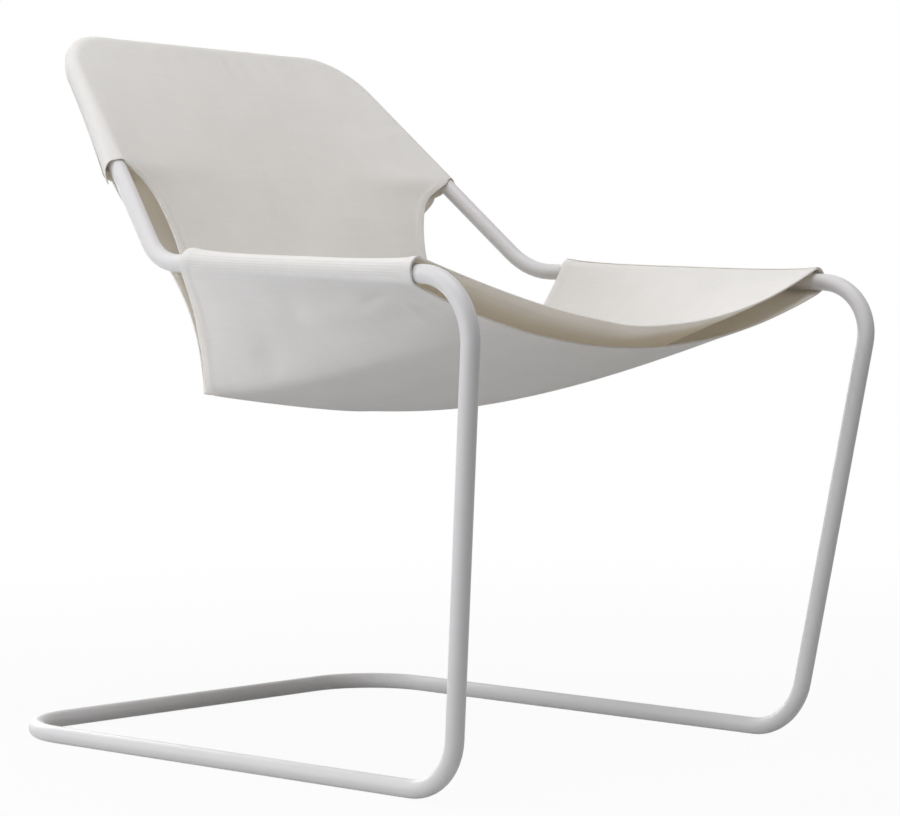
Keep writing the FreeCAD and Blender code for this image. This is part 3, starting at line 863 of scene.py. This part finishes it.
def lining_points():
    """Round the bar from just inside its front, over the outer side, to the rear."""
    centres, outs, parts = loop_path(POCKET_END + 0.03, 40, BEND_ROWS)
    centre = np.concatenate([centres * MIRROR, centres[::-1]])[:, None]
    out = np.concatenate([outs * MIRROR, outs[::-1]])[:, None]
    part = np.concatenate([parts, parts[::-1]])[:, None]
    angle = np.radians(np.linspace(-25, 205, 25))[None, :]
    loose = pocket_slack(part) * ramp(np.radians(32), np.radians(110), angle)
    radius = (FIRST_LAYER + loose)[..., None]
    spoke = forward * np.cos(angle)[..., None] + out * np.sin(angle)[..., None]
    return centre + radius * spoke


def arm_strip_points(side):
    """An arc over the top of one arm, carried from the seat's front to its rear."""
    y = np.linspace(SEAT_FRONT + 0.003, SLEEVE_REAR - 0.003, 40)[:, None]
    half, height = arm_line(y)
    angle = np.radians(np.linspace(-58, 58, 15))[None, :]
    return np.stack([side * (half + FIRST_LAYER * np.sin(angle)), y + 0 * angle,
                     height + FIRST_LAYER * np.cos(angle)], axis=-1)


pocket_band = strip_piece("pocket_band", lining_points())
arm_strips = {side: strip_piece("arm_strip_" + word, arm_strip_points(side))
              for side, word in ((-1, "right"), (1, "left"))}

# %% [markdown]
# ## Stitching
# Lock stitches are short ridges of thread, sunk at both ends where the needle went in.
# Each is a small six-sided bead stretched along the seam. A seam is a line of places on a
# grid, walked at an even pitch, with the cloth's normal at each place.

# %% Stitching
STITCH_PITCH, STITCH_LENGTH, STITCH_WIDTH = 0.0046, 0.0036, 0.0008
STITCH_SINK = 0.0002
BEAD_RINGS, BEAD_SIDES = 5, 6
BEAD_POINTS = BEAD_RINGS * BEAD_SIDES


def on_grid(values, rows, columns):
    """Values of a grid at places between its points: a weighted mean of four of them."""
    i = np.clip(np.floor(rows).astype(int), 0, values.shape[0] - 2)
    j = np.clip(np.floor(columns).astype(int), 0, values.shape[1] - 2)
    a, b = (rows - i)[:, None], (columns - j)[:, None]
    return ((values[i, j] * (1 - a) + values[i + 1, j] * a) * (1 - b)
            + (values[i, j + 1] * (1 - a) + values[i + 1, j + 1] * a) * b)


def seam(points, rows, columns, face):
    """Even places along a line on a grid, moved out to the given face of the cloth."""
    normals = grid_normals(points) * face
    line, normal = on_grid(points, rows, columns), on_grid(normals, rows, columns)
    walked = np.concatenate([[0], np.cumsum(np.linalg.norm(np.diff(line, axis=0), axis=1))])
    stops = np.arange(STITCH_PITCH, walked[-1] - STITCH_PITCH / 2, STITCH_PITCH)
    place = np.stack([np.interp(stops, walked, line[:, k]) for k in range(3)], axis=-1)
    up = np.stack([np.interp(stops, walked, normal[:, k]) for k in range(3)], axis=-1)
    ahead = np.gradient(place, axis=0)
    return place, up / np.linalg.norm(up, axis=1, keepdims=True), ahead


def stitches(name, seams, height):
    """One bead per place: rings of six points whose radius swells towards the middle."""
    place, up, ahead = (np.concatenate(parts) for parts in zip(*seams))
    ahead = ahead - up * np.sum(ahead * up, axis=1, keepdims=True)
    ahead /= np.linalg.norm(ahead, axis=1, keepdims=True)
    sideways = np.cross(up, ahead)
    station = np.array([-1.0, -0.7, 0.0, 0.7, 1.0])
    swell = np.array([0.25, 0.8, 1.0, 0.8, 0.25])
    angle = np.linspace(0, 2 * np.pi, BEAD_SIDES, endpoint=False)
    length = station[:, None] * STITCH_LENGTH / 2 + 0 * angle
    width = swell[:, None] * np.cos(angle) * STITCH_WIDTH / 2
    lift = (height + swell[:, None] * np.sin(angle) * 0.4 * STITCH_WIDTH
            - STITCH_SINK * (1 - swell[:, None]))
    points = (place[:, None, None] + ahead[:, None, None] * length[..., None]
              + sideways[:, None, None] * width[..., None] + up[:, None, None] * lift[..., None])
    ring = np.arange(BEAD_POINTS).reshape(BEAD_RINGS, BEAD_SIDES)
    turned = np.roll(ring, -1, axis=1)
    sides = np.stack([ring[:-1], turned[:-1], turned[1:], ring[1:]], axis=-1).reshape(-1, 4)
    count = len(place)
    first = BEAD_POINTS * np.arange(count)[:, None, None]
    quads = (sides[None] + first).reshape(-1, 4).tolist()
    caps = np.stack([ring[0][::-1], ring[-1]])
    ends = (caps[None] + first).reshape(-1, BEAD_SIDES).tolist()
    piece = new_mesh_piece(name, points, quads + ends, THREAD)
    set_uv(piece, points.reshape(-1, 3)[:, 1:])
    print(name, count, "stitches")
    return piece


# %% [markdown]
# The sleeves carry several close rows of stitching that join the two seat layers. Every
# free edge has one row at the inner side of its hem.

# %% Seams of the seat
hem_row = np.searchsorted(SEAT_ROWS, SEAT_HEM) - 1.0
last_row = len(SEAT_ROWS) - 1.0
row_line = np.linspace(0, last_row, 240)
column_line = np.linspace(0, SEAT_COLUMNS - 1.0, 600)
SLEEVE_ROWS = (48, 62, 76, 90, 104)  # degrees from the arm's top, outwards
row_along = np.interp(row_line, np.arange(len(SEAT_ROWS)), SEAT_ROWS)
upper_seams, lower_seams = [], []
for degrees in SLEEVE_ROWS:
    whole_arc = leave_angle(row_along, LOWER_ANGLES) - LOWER_ANGLES[0]
    column = (degrees - LOWER_ANGLES[0]) / whole_arc * (ARC_COLUMNS - 1)
    for place in (column, SEAT_COLUMNS - 1 - column):
        lower_seams.append(seam(lower, row_line, place, -1))
for row in (hem_row - 0.6, last_row - hem_row + 0.6):
    upper_seams.append(seam(upper, np.full_like(column_line, row), column_line, 1))
    lower_seams.append(seam(lower, np.full_like(column_line, row), column_line, -1))
seat_upper_stitches = stitches("seat_upper_stitches", upper_seams, CLOTH * 0.6)
seat_lower_stitches = stitches("seat_lower_stitches", lower_seams, CLOTH * 0.6)

# %% Seams of the back
low_rows = np.linspace(1.0, LOW_ROWS, 200)
panel_width = len(panel_columns())
front_seams, rear_seams = [], []
for column in (3.0, panel_width - 4.0):
    front_seams.append(seam(front_grid, low_rows, np.full_like(low_rows, column), 1))
    rear_seams.append(seam(rear_grid, low_rows, np.full_like(low_rows, column), -1))
back_front_stitches = stitches("back_front_stitches", front_seams, CLOTH)
back_rear_stitches = stitches("back_rear_stitches", rear_seams, CLOTH)

# %% [markdown]
# ## Areas of the sheets
# The area of each piece of canvas is printed as the piece is made.

# %% [markdown]
# ## Floor and light
# The photograph is a cut-out on white. A wide pale floor and a white world give that
# background. What the camera sees of them is white, while the chair itself is lit by a
# weak room light and five soft lamps: two on the left of the picture, one above, a weak
# one low down and one behind.

# %% Floor
def seen_white(tree):
    """1 for rays that show the background: straight, reflected or through a surface."""
    rays = tree.nodes.new("ShaderNodeLightPath").outputs
    mirrored = math_node(tree, "MAXIMUM", rays["Is Glossy Ray"], rays["Is Transmission Ray"])
    return math_node(tree, "MAXIMUM", rays["Is Camera Ray"], mirrored)


def white_to_camera(name, colour, near_whiteness):
    """A matt surface that the camera sees as nearly white near the chair, so that faint
    shadows stay, and as quite white three metres away, so that no horizon shows."""
    material = bpy.data.materials.new(name)
    material.use_nodes = True
    tree = material.node_tree
    tree.nodes.remove(tree.nodes["Principled BSDF"])
    matt = tree.nodes.new("ShaderNodeBsdfDiffuse")
    matt.inputs["Color"].default_value = (*colour, 1)
    glow = tree.nodes.new("ShaderNodeEmission")
    blend = tree.nodes.new("ShaderNodeMixShader")
    distance = tree.nodes.new("ShaderNodeVectorMath")
    distance.operation = "LENGTH"
    fade = tree.nodes.new("ShaderNodeMapRange")
    fade.interpolation_type = "SMOOTHSTEP"
    fade.inputs["From Min"].default_value = 0.5
    fade.inputs["From Max"].default_value = 3.0
    fade.inputs["To Min"].default_value = near_whiteness
    fade.inputs["To Max"].default_value = 1.0
    coordinates = tree.nodes.new("ShaderNodeTexCoord").outputs["Object"]
    shown = math_node(tree, "MULTIPLY", seen_white(tree), fade.outputs["Result"])
    link_nodes(tree, [
        (coordinates, distance.inputs[0]),
        (distance.outputs["Value"], fade.inputs["Value"]),
        (shown, blend.inputs["Fac"]),
        (matt.outputs[0], blend.inputs[1]),
        (glow.outputs[0], blend.inputs[2]),
        (blend.outputs[0], tree.nodes["Material Output"].inputs["Surface"]),
    ])
    return material


FLOOR_HALF, FLOOR_COLOUR, NEAR_WHITENESS = 14.0, (0.58, 0.58, 0.58), 0.94
floor_corners = np.array([[-1, -1, 0], [1, -1, 0], [1, 1, 0], [-1, 1, 0]]) * FLOOR_HALF
floor_mesh = bpy.data.meshes.new("floor")
floor_mesh.from_pydata(floor_corners.tolist(), [], [[0, 1, 2, 3]])
floor_mesh.materials.append(white_to_camera("pale_floor", FLOOR_COLOUR, NEAR_WHITENESS))
floor = bpy.data.objects.new("floor", floor_mesh)
scene.collection.objects.link(floor)


# %% World and lamps
def soft_lamp(name, place, target, size, power, colour=(0.93, 0.95, 1.0)):
    """A square lamp at a place, facing a target."""
    data = bpy.data.lights.new(name, "AREA")
    data.size = size
    data.energy = power
    data.color = colour
    lamp = bpy.data.objects.new(name, data)
    lamp.location = place
    lamp.rotation_mode = "QUATERNION"
    lamp.rotation_quaternion = (Vector(target) - Vector(place)).to_track_quat("-Z", "Y")
    scene.collection.objects.link(lamp)
    return lamp


world = bpy.data.worlds.new("white_room")
world.use_nodes = True
scene.world = world
tree = world.node_tree
room = tree.nodes["Background"]
room.inputs["Color"].default_value = (1, 1, 1, 1)
ROOM_LIGHT = 0.15
white = math_node(tree, "MULTIPLY", seen_white(tree), 1 - ROOM_LIGHT)
strength = math_node(tree, "ADD", white, ROOM_LIGHT)
tree.links.new(strength, room.inputs["Strength"])

CHAIR_MIDDLE = (0.0, 0.0, 0.45)
soft_lamp("left_lamp", (-2.6, 1.6, 1.1), CHAIR_MIDDLE, 1.6, 34)
soft_lamp("high_lamp", (-2.2, 1.2, 2.6), CHAIR_MIDDLE, 1.6, 10)
soft_lamp("top_lamp", (-0.4, -0.6, 3.2), CHAIR_MIDDLE, 2.2, 69)
soft_lamp("low_lamp", (-1.7, -0.35, 0.30), CHAIR_MIDDLE, 1.2, 8, (0.86, 0.90, 1.0))
soft_lamp("rear_lamp", (0.6, 3.0, 1.6), CHAIR_MIDDLE, 1.8, 54)
scene.view_settings.view_transform = "Standard"

bpy.context.view_layer.update()
